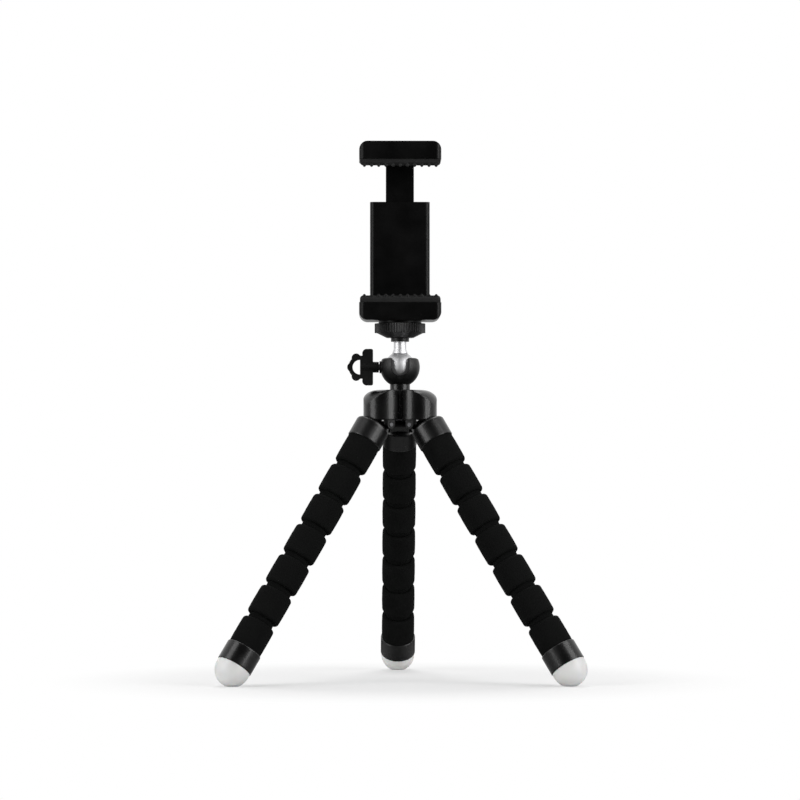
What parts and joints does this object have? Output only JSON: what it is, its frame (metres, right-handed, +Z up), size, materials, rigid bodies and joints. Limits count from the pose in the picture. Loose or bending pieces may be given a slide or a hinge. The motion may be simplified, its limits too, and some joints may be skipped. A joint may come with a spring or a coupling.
{
  "type": "flexible leg tripod",
  "caption": "Small table tripod with bendable foam legs on a domed hub, a ball head with a thumb key and lock wheel, and a sprung phone clamp.",
  "frame": {"origin": "on the hub's axis at floor level", "axes": "+Z up along the hub's axis; the front, with the cup's slot and the pads' lips, faces -Y; +X to the right seen from the front"},
  "size_m": [0.1568, 0.1379, 0.2329],
  "materials": {
    "leg_foam": "matte foam rubber",
    "gloss_black": "gloss",
    "satin_black": "satin",
    "pad_rubber": "matte",
    "foot_rubber": "smooth white",
    "bright_steel": "polished",
    "steel": "zinc plated",
    "core_wire": "drawn",
    "brass": "machined"
  },
  "bodies": {
    "hub": {"hub_shell": "gloss_black", "hub_core": "satin_black", "hinge_pins": "steel", "hub_screw": "steel", "ball_cup": "satin_black"},
    "thumb": {"thumb_screw": "steel", "thumb_key": "satin_black"},
    "ball": {"ball": "bright_steel"},
    "stem": {"ball_stem": "bright_steel"},
    "wheel": {"lock_wheel": "satin_black"},
    "clamp": {"lower_jaw": "gloss_black", "thread_insert": "brass", "lower_pad": "pad_rubber", "spine_cover": "gloss_black", "cover_screws": "steel", "jaw_springs": "steel"},
    "jaw": {"upper_jaw": "gloss_black", "upper_pad": "pad_rubber"},
    "left_leg": {"left_collar": "gloss_black", "left_foam_1": "leg_foam", "left_core_wire": "core_wire"},
    "left_bead_2": {"left_foam_2": "leg_foam"},
    "left_bead_3": {"left_foam_3": "leg_foam"},
    "left_bead_4": {"left_foam_4": "leg_foam"},
    "left_bead_5": {"left_foam_5": "leg_foam"},
    "left_bead_6": {"left_foam_6": "leg_foam"},
    "left_tip": {"left_foam_7": "leg_foam", "left_end_cap": "gloss_black", "left_foot": "foot_rubber"},
    "right_leg": {"right_collar": "gloss_black", "right_foam_1": "leg_foam", "right_core_wire": "core_wire"},
    "right_bead_2": {"right_foam_2": "leg_foam"},
    "right_bead_3": {"right_foam_3": "leg_foam"},
    "right_bead_4": {"right_foam_4": "leg_foam"},
    "right_bead_5": {"right_foam_5": "leg_foam"},
    "right_bead_6": {"right_foam_6": "leg_foam"},
    "right_tip": {"right_foam_7": "leg_foam", "right_end_cap": "gloss_black", "right_foot": "foot_rubber"},
    "back_leg": {"back_collar": "gloss_black", "back_foam_1": "leg_foam", "back_core_wire": "core_wire"},
    "back_bead_2": {"back_foam_2": "leg_foam"},
    "back_bead_3": {"back_foam_3": "leg_foam"},
    "back_bead_4": {"back_foam_4": "leg_foam"},
    "back_bead_5": {"back_foam_5": "leg_foam"},
    "back_bead_6": {"back_foam_6": "leg_foam"},
    "back_tip": {"back_foam_7": "leg_foam", "back_end_cap": "gloss_black", "back_foot": "foot_rubber"}
  },
  "joints": [
    {"name": "ball_side_tilt", "type": "hinge", "parent": "hub", "child": "ball", "pos_m": [0, 0, 0.1356], "axis": [0, 1, 0], "range_deg": [-18, 18]},
    {"name": "head_front_tilt", "type": "hinge", "parent": "ball", "child": "stem", "pos_m": [0, 0, 0.1356], "axis": [1, 0, 0], "range_deg": [-15, 90]},
    {"name": "thumb_turn", "type": "hinge", "parent": "hub", "child": "thumb", "pos_m": [0, 0, 0.1356], "axis": [-1, 0, 0], "range_deg": [0, 360]},
    {"name": "wheel_spin", "type": "hinge", "parent": "stem", "child": "wheel", "pos_m": [0, 0, 0.1467], "axis": [0, 0, 1], "continuous": true},
    {"name": "clamp_turn", "type": "hinge", "parent": "stem", "child": "clamp", "pos_m": [0, 0, 0.15465], "axis": [0, 0, 1], "continuous": true},
    {"name": "jaw_slide", "type": "slide", "parent": "clamp", "child": "jaw", "axis": [0, 0, 1], "range_m": [0, 0.03], "stiffness_N_per_m": 150, "springref_m": -0.02, "deforming": ["jaw_springs"]},
    {"name": "left_leg_swing", "type": "hinge", "parent": "hub", "child": "left_leg", "pos_m": [-0.00736, -0.00425, 0.11048], "axis": [0.5, -0.866, 0], "range_deg": [0, 33]},
    {"name": "left_bend_1", "type": "hinge", "parent": "left_leg", "child": "left_bead_2", "pos_m": [-0.02238, -0.01292, 0.09118], "axis": [-0.5, 0.866, 0], "range_deg": [-20, 20], "deforming": ["left_core_wire"]},
    {"name": "left_bend_2", "type": "hinge", "parent": "left_bead_2", "child": "left_bead_3", "pos_m": [-0.02972, -0.01716, 0.07832], "axis": [-0.723, -0.4174, 0.5505], "range_deg": [-20, 20], "deforming": ["left_core_wire"]},
    {"name": "left_bend_3", "type": "hinge", "parent": "left_bead_3", "child": "left_bead_4", "pos_m": [-0.03708, -0.02141, 0.06548], "axis": [0.5, -0.866, 0], "range_deg": [-20, 20], "deforming": ["left_core_wire"]},
    {"name": "left_bend_4", "type": "hinge", "parent": "left_bead_4", "child": "left_bead_5", "pos_m": [-0.04446, -0.02567, 0.05265], "axis": [0.7213, 0.4165, -0.5534], "range_deg": [-20, 20], "deforming": ["left_core_wire"]},
    {"name": "left_bend_5", "type": "hinge", "parent": "left_bead_5", "child": "left_bead_6", "pos_m": [-0.05186, -0.02994, 0.03984], "axis": [-0.5, 0.866, 0], "range_deg": [-20, 20], "deforming": ["left_core_wire"]},
    {"name": "left_bend_6", "type": "hinge", "parent": "left_bead_6", "child": "left_tip", "pos_m": [-0.05928, -0.03423, 0.02704], "axis": [-0.7197, -0.4155, 0.5563], "range_deg": [-20, 20], "deforming": ["left_core_wire"]},
    {"name": "right_leg_swing", "type": "hinge", "parent": "hub", "child": "right_leg", "pos_m": [0.00736, -0.00425, 0.11048], "axis": [0.5, 0.866, 0], "range_deg": [0, 33]},
    {"name": "right_bend_1", "type": "hinge", "parent": "right_leg", "child": "right_bead_2", "pos_m": [0.02238, -0.01292, 0.09118], "axis": [-0.5, -0.866, 0], "range_deg": [-20, 20], "deforming": ["right_core_wire"]},
    {"name": "right_bend_2", "type": "hinge", "parent": "right_bead_2", "child": "right_bead_3", "pos_m": [0.02972, -0.01716, 0.07832], "axis": [0.723, -0.4174, 0.5505], "range_deg": [-20, 20], "deforming": ["right_core_wire"]},
    {"name": "right_bend_3", "type": "hinge", "parent": "right_bead_3", "child": "right_bead_4", "pos_m": [0.03708, -0.02141, 0.06548], "axis": [0.5, 0.866, 0], "range_deg": [-20, 20], "deforming": ["right_core_wire"]},
    {"name": "right_bend_4", "type": "hinge", "parent": "right_bead_4", "child": "right_bead_5", "pos_m": [0.04446, -0.02567, 0.05265], "axis": [-0.7213, 0.4165, -0.5534], "range_deg": [-20, 20], "deforming": ["right_core_wire"]},
    {"name": "right_bend_5", "type": "hinge", "parent": "right_bead_5", "child": "right_bead_6", "pos_m": [0.05186, -0.02994, 0.03984], "axis": [-0.5, -0.866, 0], "range_deg": [-20, 20], "deforming": ["right_core_wire"]},
    {"name": "right_bend_6", "type": "hinge", "parent": "right_bead_6", "child": "right_tip", "pos_m": [0.05928, -0.03423, 0.02704], "axis": [0.7197, -0.4155, 0.5563], "range_deg": [-20, 20], "deforming": ["right_core_wire"]},
    {"name": "back_leg_swing", "type": "hinge", "parent": "hub", "child": "back_leg", "pos_m": [0, 0.0085, 0.11048], "axis": [-1, 0, 0], "range_deg": [0, 33]},
    {"name": "back_bend_1", "type": "hinge", "parent": "back_leg", "child": "back_bead_2", "pos_m": [0, 0.02584, 0.09118], "axis": [1, 0, 0], "range_deg": [-20, 20], "deforming": ["back_core_wire"]},
    {"name": "back_bend_2", "type": "hinge", "parent": "back_bead_2", "child": "back_bead_3", "pos_m": [0, 0.03432, 0.07832], "axis": [0, 0.8348, 0.5505], "range_deg": [-20, 20], "deforming": ["back_core_wire"]},
    {"name": "back_bend_3", "type": "hinge", "parent": "back_bead_3", "child": "back_bead_4", "pos_m": [0, 0.04282, 0.06548], "axis": [-1, 0, 0], "range_deg": [-20, 20], "deforming": ["back_core_wire"]},
    {"name": "back_bend_4", "type": "hinge", "parent": "back_bead_4", "child": "back_bead_5", "pos_m": [0, 0.05134, 0.05265], "axis": [0, -0.8329, -0.5534], "range_deg": [-20, 20], "deforming": ["back_core_wire"]},
    {"name": "back_bend_5", "type": "hinge", "parent": "back_bead_5", "child": "back_bead_6", "pos_m": [0, 0.05989, 0.03984], "axis": [1, 0, 0], "range_deg": [-20, 20], "deforming": ["back_core_wire"]},
    {"name": "back_bend_6", "type": "hinge", "parent": "back_bead_6", "child": "back_tip", "pos_m": [0, 0.06845, 0.02704], "axis": [0, 0.831, 0.5563], "range_deg": [-20, 20], "deforming": ["back_core_wire"]}
  ]
}
